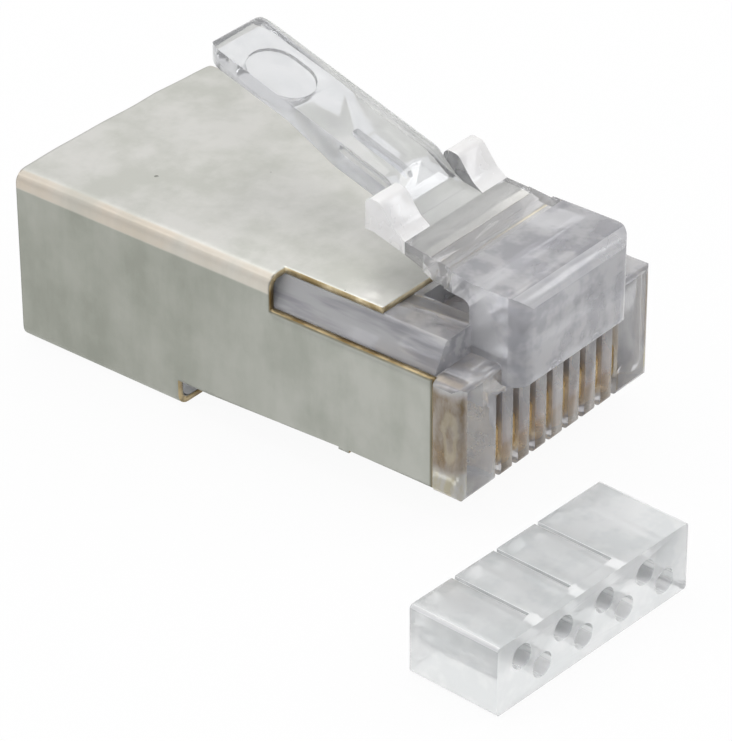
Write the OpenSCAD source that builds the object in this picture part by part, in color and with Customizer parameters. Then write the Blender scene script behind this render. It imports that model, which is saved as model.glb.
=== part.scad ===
// Shielded eight-way modular plug for network cable, with its clear wire guide beside it.
// Units are millimetres. X runs across the plug, Y from the tip of the nose to the cable end, Z up.

/* [Plug] */
// Width across the shield
body_w = 11.68; // [11.4:0.02:12.4]
// Height from the surface it lies on to the top of the shield
body_h = 7.5; // [7.2:0.05:8.2]
// Length from the tip of the nose to the rear edge of the shield
body_l = 22.55; // [22:0.05:25]
// How far the underside of the front half lies above the underside of the rear half
front_rise = 1.2; // [0.8:0.05:1.5]
// Distance from the tip of the nose to the step in the underside
step_y = 14.5; // [14.2:0.05:15]

/* [Nose] */
// Width of the nose block
nose_w = 6.9; // [6.6:0.05:7.4]
// How far the nose stands ahead of the comb of contact slots
nose_out = 0.9; // [0.6:0.05:1.3]
// Length of the nose block along the plug
nose_l = 2.4; // [2.2:0.05:2.7]
// Height of the underside of the nose above the front underside
nose_base = 4; // [3.9:0.05:4.3]
// How far the top of the nose stands above the top of the shield
nose_stand = 1.45; // [1.3:0.05:1.7]
// Radius of the two upright corners of the nose
nose_corner = 0.9; // [0.4:0.05:1.2]
// Radius of the upper front edge of the nose
nose_round = 0.7; // [0.3:0.05:0.9]

/* [Shoulders] */
// Height of the shoulders beside the nose above the front underside
shoulder_h = 4.85; // [4.5:0.05:5.1]
// Length of the shoulders along the plug
shoulder_l = 1.4; // [1.2:0.02:1.6]
// Radius of the upright corners of the shoulders
shoulder_corner = 0.4; // [0.2:0.05:0.8]
// Radius along the lower front edge of the comb
comb_round = 0.2; // [0.1:0.05:0.5]
// Radius along the lower side edges of the comb
comb_side_round = 0.35; // [0.2:0.05:0.6]
// Radius along the lower edges of the housing
lower_round = 0.4; // [0.2:0.05:0.6]
// Height of the bevel along the upper corners of the housing
rail_bevel_h = 1.1; // [0.8:0.05:1.3]
// Width of the bevel along the upper corners of the housing
rail_bevel_w = 0.65; // [0.4:0.05:0.9]

/* [Shield] */
// Thickness of the sheet metal
sheet_t = 0.25; // [0.2:0.01:0.3]
// Outer radius of the folds
fold_r = 0.55; // [0.4:0.05:0.7]
// Distance from the tip of the nose to the front edge of the side walls
side_front_y = 2.2; // [2.15:0.01:2.29]
// Distance from the tip of the nose to the front edge of the top wall
top_front_y = 5.25; // [5:0.05:6]
// Distance from the tip of the nose to the rear end of the corner windows
window_end_y = 9.85; // [9:0.05:11]
// How far the corner windows reach in over the top wall
window_reach = 0.95; // [0.8:0.05:1.3]
// Height of the lower edge of the corner windows above the front underside
window_sill = 4.88; // [4.6:0.02:5.1]
// Radius of the lower rear corner of each corner window
window_round = 0.25; // [0.1:0.05:0.4]
// Gap between the shield and the housing all round
fit_gap = 0.03; // [0.02:0.01:0.05]
// How far the front of the side walls ends above the front underside
side_lift = 0.25; // [0.1:0.05:0.35]
// Height of the cut-off stubs under the side walls
stub_h = 0.12; // [0.08:0.02:0.2]
// Radius of the three dimples behind the front edge of the top wall
dimple_r = 0.45; // [0.3:0.05:0.6]
// Height of the dimples
dimple_h = 0.07; // [0.04:0.01:0.12]

/* [Contacts] */
// Number of contacts
contact_count = 8; // [8:1:8]
// Distance between neighbouring contacts
contact_pitch = 1.016; // [1:0.004:1.06]
// Thickness of a contact blade
blade_t = 0.32; // [0.28:0.01:0.36]
// Length of a contact blade along the plug
blade_l = 5.4; // [5:0.05:5.7]
// Height of a contact blade without its teeth
blade_h = 2.9; // [2.7:0.05:3]
// Height of the front lobe of a blade, which the jack's spring rides on
lobe_h = 2; // [1.8:0.05:2.2]
// How far the upper part of a blade stands behind its front lobe
lobe_step = 0.65; // [0.5:0.05:0.8]
// Height of the piercing teeth
tooth_h = 1.1; // [0.8:0.05:1.25]
// How far the blades lie inside the comb, at the front and below
blade_recess = 0.15; // [0.1:0.01:0.25]
// Gap on each side of a blade in its slot
slot_gap = 0.02; // [0.02:0.01:0.05]

/* [Latch] */
// Width of the latch across its two ears
ear_span = 6.1; // [5.9:0.05:6.3]
// Width of each ear
ear_w = 1.5; // [1.3:0.05:1.6]
// Length of each ear along the plug
ear_l = 1.85; // [1.7:0.05:2]
// Height of the ears above the latch root
ear_h = 1.2; // [1.1:0.05:1.3]
// Distance from the hinge line to the front of the ears
ear_lead = 1.7; // [1.6:0.05:1.8]
// Slope of the latch root in degrees
root_slope = 5.2; // [4.5:0.1:6]
// Width of the finger tab
tab_w = 3; // [2.8:0.05:3.2]
// Distance from the tip of the nose to the end of the finger tab
tab_end_y = 16.6; // [15.5:0.05:17.5]
// Slope of the finger tab in degrees
tab_slope = 17.8; // [16:0.2:20]
// Thickness of the finger tab behind the ears
tab_root_t = 1.2; // [1.1:0.05:1.25]
// Thickness of the finger tab at its end
tab_t = 0.85; // [0.75:0.05:1]
// Radius of the corners at the end of the finger tab
tab_corner = 0.8; // [0.5:0.05:1.2]
// Length of the oval pad under the end of the finger tab
pad_l = 2.9; // [2.6:0.05:3.2]
// Width of the pad
pad_w = 2.3; // [2:0.05:2.6]
// Distance from the end of the finger tab to the pad
pad_margin = 0.9; // [0.7:0.05:1.2]
// Thickness of the finger tab at its pad
pad_t = 1.05; // [0.95:0.05:1.15]
// Thickness of the latch at its hinge
hinge_t = 0.96; // [0.9:0.02:1.04]
// Distance from the tip of the nose to the hinge line
hinge_y = 4; // [3.9:0.02:4.2]
// Gap round the rolled hinge edge
hinge_gap = 0.06; // [0.05:0.01:0.08]

/* [Cable end] */
// Radius of the cable entry
entry_r = 3.05; // [2.9:0.01:3.1]
// Depth of the round cable entry
entry_l = 2.5; // [2:0.05:2.8]
// How far the housing stops short of the rear edge of the shield
rear_inset = 0.25; // [0.1:0.05:0.4]

/* [Wire guide] */
// Length of the wire guide, across the plug
guide_l = 10.4; // [10:0.05:10.44]
// Depth of the wire guide, along the plug
guide_d = 4; // [3.6:0.05:4.2]
// Height of the wire guide
guide_h = 2.85; // [2.7:0.05:2.95]
// Diameter of the wire holes
wire_d = 1; // [0.9:0.02:1.05]
// Distance from each end of the wire guide to the axis of its first hole
wire_margin = 1.28; // [1.2:0.01:1.4]
// Height between the two rows of wire holes
row_gap = 0.95; // [0.9:0.01:1]
// Place of the wire guide across the plug
guide_x = -8.6; // [-12:0.1:-4]
// Place of the wire guide ahead of the nose
guide_y = -5.3; // [-9:0.1:-4.5]
// Turn of the wire guide in degrees
guide_turn = -2.9; // [-10:0.1:10]

/* [Hidden] */
$fn = 48;
corner_steps = 6;
// How far a cutting body reaches past what it cuts
past = 0.5;
// How far solids that join lap each other
lap = 0.05;
// Small roundings that a mould leaves
edge_round = 0.2;

clear_plastic = [0.86, 0.88, 0.93];
plated_sheet = [0.66, 0.68, 0.63];
gold_plate = [0.83, 0.62, 0.25];

front_z = front_rise;
comb_y = nose_out;
shoulder_z = front_z + shoulder_h;
shoulder_y = comb_y + shoulder_l;
house_half = body_w / 2 - sheet_t - fit_gap;
house_top = body_h - sheet_t - fit_gap;
house_low = sheet_t + fit_gap;
rear_y = body_l - rear_inset;
nose_z = front_z + nose_base;
nose_top = body_h + nose_stand;
sill_z = front_z + window_sill;
window_x = body_w / 2 - window_reach;

// Latch profile, from the hinge line along the plug
top_rise = tan(root_slope);
hinge_top = nose_top + (hinge_y - nose_l) * top_rise;
hinge_z = hinge_top - hinge_t / 2;
hinge_under = hinge_z - hinge_t / 2;
foot_y = hinge_y + ear_lead;
foot_z = hinge_top + ear_lead * top_rise;
ear_end_y = foot_y + ear_l;
tab_top_z = foot_z + ear_h;
ear_under_z = tab_top_z - tab_root_t;
thick_l = 2.75;
taper_l = 2.25;
thick_end_y = ear_end_y + thick_l;
thin_start_y = thick_end_y + taper_l;
thin_t = tab_t - 0.07;
core_y = ear_end_y + 0.65;
core_end_y = core_y + 2.4;
core_half = 0.15;
core_depth = 0.35;
ear_crest = 1.15;
ear_toe = 0.45;
root_lap = 0.2;
root_fillet = 0.3;
pad_y = tab_end_y - pad_margin - pad_l / 2 - pad_t * sin(tab_slope);
root_flare = 0.1;
tab_rise = tan(tab_slope);
function tab_top(y) = tab_top_z + (y - ear_end_y) * tab_rise;

// Room inside the housing
tooth_margin = 0.15;
tooth_w = (blade_l - lobe_step - tooth_margin - 0.1) / 5;
blade_y = comb_y + blade_recess;
blade_z = front_z + blade_recess;
first_tooth_y = blade_y + lobe_step + tooth_margin;
wire_y = first_tooth_y - 0.08;
chamber_y = comb_y + 7.3;
guide_gap = 0.1;
cavity_half = guide_l / 2 + guide_gap;
cavity_h = guide_h + guide_gap;
cavity_z = front_z + 2.2;
cavity_end_y = chamber_y + guide_d + 2 * guide_gap;
side_wall = 0.65;
floor_wall = 0.75;
wire_margin_in = 0.5;
wire_depth = 3.2;
cable_half = house_half - side_wall;
cable_top = house_top - side_wall;
cable_floor = front_z + floor_wall;
rear_floor = house_low + floor_wall - fit_gap;
step_wall = 0.3;
entry_y = rear_y - entry_l;
entry_z = (house_low + house_top) / 2;
wire_half = (contact_count - 1) / 2 * contact_pitch + wire_margin_in;
wire_low = front_z + wire_depth;
wire_h = 1.25;
press_y = chamber_y + 0.9;
press_l = 2.5;
press_half = wire_half + 0.3;
press_depth = 0.5;
bar_gap = 0.1;
pocket_wall = 0.55;
pocket_half = nose_w / 2 - pocket_wall;
pocket_depth = 0.9;
pocket_floor = house_top - pocket_depth;
pocket_end_y = top_front_y - 0.3;
relief_half = 3.2;
relief_room = entry_y - step_y;
relief_y = step_y + 0.245 * relief_room;
relief_l = 0.62 * relief_room;
relief_edge = 0.2;
relief_rise = 0.7;
web_t = 0.3;

// Grooves on top of the wire guide, off its middle so that they show which way round it goes
groove_w = 0.16;
groove_depth = 0.15;
groove_shift = 0.3;

// Stubs and dimples of the shield
stub_y = side_front_y + 3.9;
stub_l = 0.5;
lift_end_y = step_y - 1.7;
dimple_x = window_x - dimple_r - 0.2;
dimple_y = top_front_y + dimple_r + 0.45;

// Contacts
slot_w = blade_t + 2 * slot_gap;
slot_top = front_z + 3.7;
slot_end_y = blade_y + blade_l + 0.15;

function contact_x(i) = (i - (contact_count - 1) / 2) * contact_pitch;

// Turns a closed outline of [x, y, radius] corners into points, with an arc at each rounded corner
function unit(v) = v / norm(v);
function corner_points(a, b, c) =
    b[2] == 0 ? [[b[0], b[1]]] :
    let (p = [b[0], b[1]])
    let (u = unit([a[0], a[1]] - p))
    let (w = unit([c[0], c[1]] - p))
    let (half = acos(max(-1, min(1, u * w))) / 2)
    let (mid = p + unit(u + w) * b[2] / sin(half))
    let (start = p + u * b[2] / tan(half) - mid)
    let (side = u[0] * w[1] - u[1] * w[0] > 0 ? -1 : 1)
    let (sweep = 180 - 2 * half)
    [for (k = [0 : corner_steps])
        let (t = -side * -sweep * k / corner_steps)
        mid + [start[0] * cos(t) - start[1] * sin(t), start[0] * sin(t) + start[1] * cos(t)]];
function rounded(corners) =
    let (n = len(corners))
    [for (i = [0 : n - 1])
        each corner_points(corners[(i + n - 1) % n], corners[i], corners[(i + 1) % n])];

// Side outline in Y and Z, given its width across the plug
module across(width) {
    rotate([90, 0, 90])
        linear_extrude(width, center = true)
            children();
}

// Front outline in X and Z, drawn out from one Y to another
module along(from_y, to_y) {
    translate([0, to_y, 0])
        rotate([90, 0, 0])
            linear_extrude(to_y - from_y)
                children();
}

module block(half_x, y0, y1, z0, z1) {
    translate([-half_x, y0, z0])
        cube([2 * half_x, y1 - y0, z1 - z0]);
}

module pair() {
    children();
    mirror([1, 0, 0]) children();
}

// Outline of the housing across its front half
module front_section() {
    polygon(rounded([
        [-house_half, front_z, lower_round],
        [house_half, front_z, lower_round],
        [house_half, house_top - rail_bevel_h, edge_round],
        [house_half - rail_bevel_w, house_top, edge_round],
        [-house_half + rail_bevel_w, house_top, edge_round],
        [-house_half, house_top - rail_bevel_h, edge_round]]));
}

// Outline of the housing across its rear half
module rear_section() {
    polygon(rounded([
        [-house_half, house_low, lower_round],
        [house_half, house_low, lower_round],
        [house_half, house_top, fold_r],
        [-house_half, house_top, fold_r]]));
}

// Low shoulders and comb block ahead of the shield, as wide as the shield
module shoulders() {
    intersection() {
        translate([0, 0, front_z])
            linear_extrude(shoulder_h)
                polygon(rounded([
                    [-body_w / 2, comb_y, shoulder_corner],
                    [body_w / 2, comb_y, shoulder_corner],
                    [body_w / 2, side_front_y - fit_gap, 0],
                    [house_half, side_front_y - fit_gap, 0],
                    [house_half, shoulder_y + past, 0],
                    [-house_half, shoulder_y + past, 0],
                    [-house_half, side_front_y - fit_gap, 0],
                    [-body_w / 2, side_front_y - fit_gap, 0]]));
        along(comb_y - past, shoulder_y + past)
            polygon(rounded([
                [-body_w / 2, front_z, comb_side_round],
                [body_w / 2, front_z, comb_side_round],
                [body_w / 2, shoulder_z, edge_round],
                [-body_w / 2, shoulder_z, edge_round]]));
        across(body_w + 1)
            polygon(rounded([
                [comb_y, front_z, comb_round],
                [shoulder_y + past, front_z, 0],
                [shoulder_y + past, shoulder_z, 0],
                [comb_y, shoulder_z, edge_round]]));
    }
}

// Nose block with the root of the latch running back from its top
module nose() {
    difference() {
        intersection() {
            across(nose_w + 1)
                polygon(rounded([
                    [0, nose_z, edge_round],
                    [nose_l, nose_z, 0],
                    [nose_l, hinge_under, root_fillet],
                    [hinge_y - root_lap, hinge_under, 0],
                    [hinge_y - root_lap, hinge_top - root_lap * top_rise, 0],
                    [nose_l, nose_top, 0],
                    [0, nose_top, nose_round]]));
            linear_extrude(nose_top + 2)
                polygon(rounded([
                    [-nose_w / 2, 0, nose_corner],
                    [nose_w / 2, 0, nose_corner],
                    [nose_w / 2, nose_l, 0],
                    [ear_span / 2 + root_flare, hinge_y + past, 0],
                    [-ear_span / 2 - root_flare, hinge_y + past, 0],
                    [-nose_w / 2, nose_l, 0]]));
        }
        hinge_roll(hinge_t / 2 + hinge_gap, nose_w + 2);
    }
}

module hinge_roll(radius, width) {
    translate([0, hinge_y, hinge_z])
        rotate([0, 90, 0])
            cylinder(r = radius, h = width, center = true);
}

// One slot of the comb, open below and to the front
module contact_slot() {
    across(slot_w)
        polygon([
            [comb_y - past, front_z - past],
            [slot_end_y, front_z - past],
            [slot_end_y, slot_top],
            [comb_y - past, slot_top]]);
}

// Bar that is pressed onto the wires or the cable, on its thin web
module crimp_bar(half, y0, y1, z0, z1, web_y) {
    lean = 0.13 * (y1 - y0);
    across(2 * half)
        polygon(rounded([
            [y0, z0, 0.6 * lean],
            [y1, z0, 0.6 * lean],
            [y1 - lean, z1, 0.8 * lean],
            [y0 + lean, z1, 0.8 * lean]]));
    block(half, web_y - lap, y0 + lean, z0 + web_t / 2, z0 + 1.5 * web_t);
}

module housing() {
    color(clear_plastic, 0.5) {
        difference() {
            union() {
                along(shoulder_y, step_y) front_section();
                along(step_y, rear_y) rear_section();
                shoulders();
                nose();
                block(pocket_half, nose_l - past, shoulder_y + past, nose_z, pocket_floor);
            }
            for (i = [0 : contact_count - 1])
                translate([contact_x(i), 0, 0]) contact_slot();
            block(wire_half, wire_y, chamber_y + past, wire_low, wire_low + wire_h);
            block(cavity_half, chamber_y, cavity_end_y, cavity_z, cavity_z + cavity_h);
            block(cable_half, cavity_end_y - lap, step_y + step_wall, cable_floor, cable_top);
            block(cable_half, step_y + step_wall - lap, entry_y, rear_floor, cable_top);
            translate([0, rear_y + past, entry_z])
                rotate([90, 0, 0])
                    cylinder(r = entry_r, h = entry_l + 2 * past);
            block(pocket_half, nose_l, pocket_end_y, pocket_floor, house_top + past);
            block(press_half, press_y, press_y + press_l, front_z - past, cavity_z + lap);
            block(relief_half, relief_y, relief_y + relief_l, house_low - past, rear_floor + lap);
        }
        crimp_bar(wire_half, press_y + 0.24 * press_l, press_y + 0.8 * press_l,
            front_z + press_depth, cavity_z - bar_gap, press_y);
        crimp_bar(relief_half - relief_edge, relief_y + 0.2 * relief_l, relief_y + 0.8 * relief_l,
            house_low + bar_gap, rear_floor + relief_rise, relief_y);
    }
}

// Latch lever with its rolled hinge edge, two ears and the finger tab
module latch() {
    color(clear_plastic, 0.5) {
        hinge_roll(hinge_t / 2, ear_span + 2 * root_flare);
        intersection() {
            across(ear_span + 1)
                polygon([
                    [hinge_y, hinge_top],
                    [hinge_y, hinge_under],
                    [hinge_y + 0.75, foot_z - 0.8],
                    [ear_end_y, ear_under_z],
                    [ear_end_y, foot_z + 0.35],
                    [foot_y + 0.75, foot_z + 0.15],
                    [foot_y, foot_z]]);
            linear_extrude(tab_top_z)
                polygon([
                    [-ear_span / 2 - root_flare, hinge_y],
                    [ear_span / 2 + root_flare, hinge_y],
                    [ear_span / 2, foot_y],
                    [ear_span / 2, ear_end_y],
                    [-ear_span / 2, ear_end_y],
                    [-ear_span / 2, foot_y]]);
        }
        pair() ear();
        difference() {
            finger_tab();
            tab_core();
        }
        tab_pad();
    }
}

module ear() {
    translate([(ear_span - ear_w) / 2, 0, 0])
        across(ear_w)
            polygon(rounded([
                [foot_y, foot_z - 0.1, 0],
                [ear_end_y, foot_z - 0.1, 0],
                [ear_end_y, tab_top_z + 0.1, 0.3],
                [foot_y + ear_crest, tab_top_z, 0.4],
                [foot_y + ear_toe, foot_z + 0.3, 0.8],
                [foot_y, foot_z, 0]]));
}

module finger_tab() {
    end_top = tab_top(tab_end_y);
    intersection() {
        across(tab_w)
            polygon(rounded([
                [foot_y + 0.9, foot_z - 0.3, 0],
                [ear_end_y, ear_under_z, 0],
                [thick_end_y, tab_top(thick_end_y) - tab_root_t, 0.8],
                [thin_start_y, tab_top(thin_start_y) - thin_t, 0.8],
                [tab_end_y - 0.1, end_top - tab_t, 0.3],
                [tab_end_y, end_top, 0.3],
                [ear_end_y + 0.25, tab_top(ear_end_y + 0.25), 0.6],
                [foot_y + 1.2, foot_z + 0.4, 0.7],
                [foot_y + 0.6, foot_z + 0.1, 0]]));
        linear_extrude(end_top + 2)
            polygon(rounded([
                [-tab_w / 2, foot_y, 0],
                [tab_w / 2, foot_y, 0],
                [tab_w / 2, tab_end_y, tab_corner],
                [-tab_w / 2, tab_end_y, tab_corner]]));
    }
}

// Shallow groove cored out of the thick part of the tab, from below
module tab_core() {
    across(2 * core_half)
        polygon([
            [core_y, foot_z - past],
            [core_end_y, foot_z - past],
            [core_end_y, tab_top(core_end_y) - tab_root_t + core_depth],
            [core_y, tab_top(core_y) - tab_root_t + core_depth]]);
}

// Rounded pad that thickens the end of the tab for the thumb
module tab_pad() {
    translate([0, pad_y, tab_top(pad_y)])
        rotate([tab_slope, 0, 0])
            translate([0, 0, -pad_t])
                linear_extrude(pad_t - tab_t / 2)
                    polygon(rounded([
                        [-pad_w / 2, -pad_l / 2, 0.98 * pad_w / 2],
                        [pad_w / 2, -pad_l / 2, 0.98 * pad_w / 2],
                        [pad_w / 2, pad_l / 2, 0.98 * pad_w / 2],
                        [-pad_w / 2, pad_l / 2, 0.98 * pad_w / 2]]));
}

// Sheet metal shell, open at both ends, cut back at the front for the comb and the latch
module shield() {
    outer = body_w / 2;
    inner = outer - sheet_t;
    color(plated_sheet) {
        difference() {
            along(side_front_y, body_l)
                polygon(rounded([
                    [-outer, 0, fold_r],
                    [outer, 0, fold_r],
                    [outer, body_h, fold_r],
                    [-outer, body_h, fold_r]]));
            along(side_front_y - past, body_l + past)
                polygon(rounded([
                    [-inner, sheet_t, fold_r - sheet_t],
                    [inner, sheet_t, fold_r - sheet_t],
                    [inner, body_h - sheet_t, fold_r - sheet_t],
                    [-inner, body_h - sheet_t, fold_r - sheet_t]]));
            across(body_w + 1)
                polygon([
                    [side_front_y - past, -past],
                    [step_y, -past],
                    [step_y, front_z],
                    [lift_end_y, front_z],
                    [stub_y, front_z + side_lift],
                    [side_front_y - past, front_z + side_lift]]);
            block(outer + past, side_front_y - past, top_front_y, sill_z, body_h + past);
            pair()
                translate([window_x + outer / 2, 0, 0])
                    across(outer)
                        polygon(rounded([
                            [side_front_y - past, sill_z, 0],
                            [window_end_y, sill_z, window_round],
                            [window_end_y, body_h + past, 0],
                            [side_front_y - past, body_h + past, 0]]));
            block(relief_half + relief_edge, relief_y - relief_edge, relief_y + relief_l + relief_edge,
                -past, sheet_t + lap);
        }
        pair()
            translate([outer - sheet_t, stub_y, front_z + side_lift - stub_h])
                cube([sheet_t, stub_l, 2 * stub_h]);
        for (k = [-1 : 1])
            translate([k * dimple_x, dimple_y, 0]) dimple();
    }
}

// Low round bump pressed up out of the sheet
module dimple() {
    ball_r = (pow(dimple_r, 2) + pow(dimple_h, 2)) / (2 * dimple_h);
    intersection() {
        translate([0, 0, body_h + dimple_h - ball_r]) sphere(r = ball_r);
        translate([0, 0, body_h - sheet_t / 2]) cylinder(r = dimple_r, h = sheet_t);
    }
}

// One contact blade: front lobe with a rolled lower corner, three piercing teeth above
module contact() {
    top = blade_z + blade_h;
    lobe_z = blade_z + lobe_h;
    color(gold_plate)
        across(blade_t)
            polygon(concat(
                rounded([
                    [blade_y + blade_l, top - 0.6, 0.2],
                    [blade_y + blade_l - 0.35, blade_z + 0.15, 0.3],
                    [blade_y + 0.3, blade_z, 0.55],
                    [blade_y, blade_z + 0.8, 0.4],
                    [blade_y, lobe_z, 0.25],
                    [blade_y + lobe_step, lobe_z + 0.25, 0.2],
                    [blade_y + lobe_step, top, 0]]),
                [for (k = [0 : 2])
                    let (y = first_tooth_y + 2 * k * tooth_w)
                    each [[y, top], [y + tooth_w * 0.3, top + tooth_h], [y + tooth_w * 0.7, top + tooth_h],
                        [y + tooth_w, top]]]));
}

module placed_contact(i) {
    translate([contact_x(i - 1), 0, 0]) contact();
}

// Clear block that lines the eight wires up in two staggered rows
module load_bar() {
    wire_pitch = (guide_l - 2 * wire_margin) / (contact_count - 1);
    color(clear_plastic, 0.5)
        translate([guide_x, guide_y, 0])
            rotate([0, 0, guide_turn])
                difference() {
                    along(-guide_d / 2, guide_d / 2)
                        polygon(rounded([
                            [-guide_l / 2, 0, 0.15],
                            [guide_l / 2, 0, 0.15],
                            [guide_l / 2, guide_h, 0.15],
                            [-guide_l / 2, guide_h, 0.15]]));
                    for (i = [0 : contact_count - 1])
                        translate([(i - (contact_count - 1) / 2) * wire_pitch, 0,
                                guide_h / 2 + (i % 2 == 0 ? 0.5 : -0.5) * row_gap])
                            rotate([90, 0, 0])
                                cylinder(d = wire_d, h = guide_d + 1, center = true);
                    for (k = [-1 : 1])
                        translate([2 * (k - groove_shift) * wire_pitch, 0.15 * guide_d, guide_h])
                            cube([groove_w, guide_d, 2 * groove_depth], center = true);
                }
}

housing();
latch();
shield();
placed_contact(1);  // contact_1
placed_contact(2);  // contact_2
placed_contact(3);  // contact_3
placed_contact(4);  // contact_4
placed_contact(5);  // contact_5
placed_contact(6);  // contact_6
placed_contact(7);  // contact_7
placed_contact(8);  // contact_8
load_bar();
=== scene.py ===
import math
import bmesh
import bpy
from mathutils import Matrix, Vector


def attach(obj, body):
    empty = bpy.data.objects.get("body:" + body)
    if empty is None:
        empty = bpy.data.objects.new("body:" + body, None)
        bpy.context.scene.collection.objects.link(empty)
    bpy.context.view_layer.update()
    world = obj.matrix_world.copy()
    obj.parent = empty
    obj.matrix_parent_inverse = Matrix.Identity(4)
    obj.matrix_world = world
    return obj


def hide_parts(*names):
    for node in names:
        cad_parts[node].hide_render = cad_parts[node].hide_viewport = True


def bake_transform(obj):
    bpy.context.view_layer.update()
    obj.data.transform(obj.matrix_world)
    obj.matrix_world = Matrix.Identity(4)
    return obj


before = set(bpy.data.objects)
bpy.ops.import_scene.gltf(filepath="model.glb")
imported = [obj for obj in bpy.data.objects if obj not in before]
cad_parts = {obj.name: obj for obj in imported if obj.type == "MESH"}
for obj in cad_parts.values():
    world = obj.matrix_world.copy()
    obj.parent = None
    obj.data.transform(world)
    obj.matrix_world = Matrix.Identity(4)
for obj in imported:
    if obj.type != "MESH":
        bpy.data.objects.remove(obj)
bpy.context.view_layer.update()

mm = 0.001
print("frame loaded")


# the view of the photograph
cameraSet = {
    "azimuth": -50.74,
    "elevation": 32.16,
    "roll": -0.26,
    "distance": 163.2 * mm,
    "target": (-2.68 * mm, 7.85 * mm, 2.71 * mm),
    "focalPixels": 4354.7,
    "imageWidth": 732,
    "sensorWidth": 36.0,
    "clipStart": 0.005,
    "clipEnd": 10.0,
}


def addCamera(put):
    az = math.radians(put["azimuth"])
    el = math.radians(put["elevation"])
    back = Vector((math.sin(az) * math.cos(el), -math.cos(az) * math.cos(el), math.sin(el)))
    right = Vector((math.cos(az), math.sin(az), 0.0))
    up = back.cross(right)
    turn = Matrix((right, up, back)).transposed() @ Matrix.Rotation(math.radians(put["roll"]), 3, "Z")
    data = bpy.data.cameras.new("photoCamera")
    data.sensor_fit = "HORIZONTAL"
    data.sensor_width = put["sensorWidth"]
    data.lens = put["focalPixels"] / put["imageWidth"] * put["sensorWidth"]
    data.clip_start = put["clipStart"]
    data.clip_end = put["clipEnd"]
    camera = bpy.data.objects.new("photoCamera", data)
    camera.matrix_world = Matrix.Translation(Vector(put["target"]) + back * put["distance"]) @ turn.to_4x4()
    bpy.context.collection.objects.link(camera)
    bpy.context.scene.camera = camera


addCamera(cameraSet)
print("camera placed")


# small helpers for node trees
def addNode(tree, kind, **settings):
    node = tree.nodes.new(kind)
    for name, value in settings.items():
        setattr(node, name, value)
    return node


def setInputs(node, values):
    for name, value in values.items():
        node.inputs[name].default_value = value


# a socket takes a plain value or another node's output
def feed(tree, socket, value):
    if isinstance(value, bpy.types.NodeSocket):
        tree.links.new(value, socket)
    else:
        socket.default_value = value


def newMaterial(name):
    material = bpy.data.materials.new(name)
    material.use_nodes = True
    tree = material.node_tree
    tree.nodes.clear()
    output = tree.nodes.new("ShaderNodeOutputMaterial")
    shader = tree.nodes.new("ShaderNodeBsdfPrincipled")
    tree.links.new(shader.outputs["BSDF"], output.inputs["Surface"])
    return material, tree, shader, output


def objectCoords(tree):
    return addNode(tree, "ShaderNodeTexCoord").outputs["Object"]


def splitCoords(tree, coords):
    split = addNode(tree, "ShaderNodeSeparateXYZ")
    tree.links.new(coords, split.inputs["Vector"])
    return split.outputs["X"], split.outputs["Y"], split.outputs["Z"]


def ramp(tree, value, stops):
    node = addNode(tree, "ShaderNodeValToRGB")
    elements = node.color_ramp.elements
    elements[0].position, elements[0].color = stops[0]
    elements[1].position, elements[1].color = stops[-1]
    for position, color in stops[1:-1]:
        elements.new(position).color = color
    tree.links.new(value, node.inputs["Fac"])
    return node.outputs["Color"]


def mixColor(tree, factor, first, second, blend="MIX"):
    node = addNode(tree, "ShaderNodeMix", data_type="RGBA", blend_type=blend)
    for number, value in ((0, factor), (6, first), (7, second)):
        feed(tree, node.inputs[number], value)
    return node.outputs[2]


def calc(tree, operation, first, second=0.0, clamp=False):
    node = addNode(tree, "ShaderNodeMath", operation=operation, use_clamp=clamp)
    feed(tree, node.inputs[0], first)
    feed(tree, node.inputs[1], second)
    return node.outputs[0]


def rises(tree, value, low, high):
    node = addNode(tree, "ShaderNodeMapRange", interpolation_type="SMOOTHSTEP")
    setInputs(node, {"From Min": low, "From Max": high})
    tree.links.new(value, node.inputs["Value"])
    return node.outputs["Result"]


def falls(tree, value, low, high):
    return calc(tree, "SUBTRACT", 1.0, rises(tree, value, low, high))


def between(tree, mask, low, high):
    node = addNode(tree, "ShaderNodeMapRange")
    setInputs(node, {"To Min": low, "To Max": high})
    tree.links.new(mask, node.inputs["Value"])
    return node.outputs["Result"]


def vectorCalc(tree, operation, *values):
    node = addNode(tree, "ShaderNodeVectorMath", operation=operation)
    for socket, value in zip(node.inputs, values):
        feed(tree, socket, value)
    return node.outputs["Value" if operation == "LENGTH" else "Vector"]


# effects that several materials share are node groups
def newGroup(name, inputs, output, kind):
    tree = bpy.data.node_groups.new(name, "ShaderNodeTree")
    for title, value in inputs:
        flat = isinstance(value, float)
        socket = tree.interface.new_socket(title, in_out="INPUT",
                                           socket_type="NodeSocketFloat" if flat else "NodeSocketVector")
        socket.default_value = value
    tree.interface.new_socket(output, in_out="OUTPUT", socket_type=kind)
    return tree, tree.nodes.new("NodeGroupInput").outputs, tree.nodes.new("NodeGroupOutput").inputs[output]


def stretchedNoise(tree, given):
    mapping = addNode(tree, "ShaderNodeMapping")
    tree.links.new(given["Coordinates"], mapping.inputs["Vector"])
    tree.links.new(given["Stretch"], mapping.inputs["Scale"])
    noise = addNode(tree, "ShaderNodeTexNoise")
    setInputs(noise, {"Roughness": 0.6})
    tree.links.new(mapping.outputs["Vector"], noise.inputs["Vector"])
    for name in ("Scale", "Detail"):
        tree.links.new(given[name], noise.inputs[name])
    return noise.outputs["Fac"]


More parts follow.
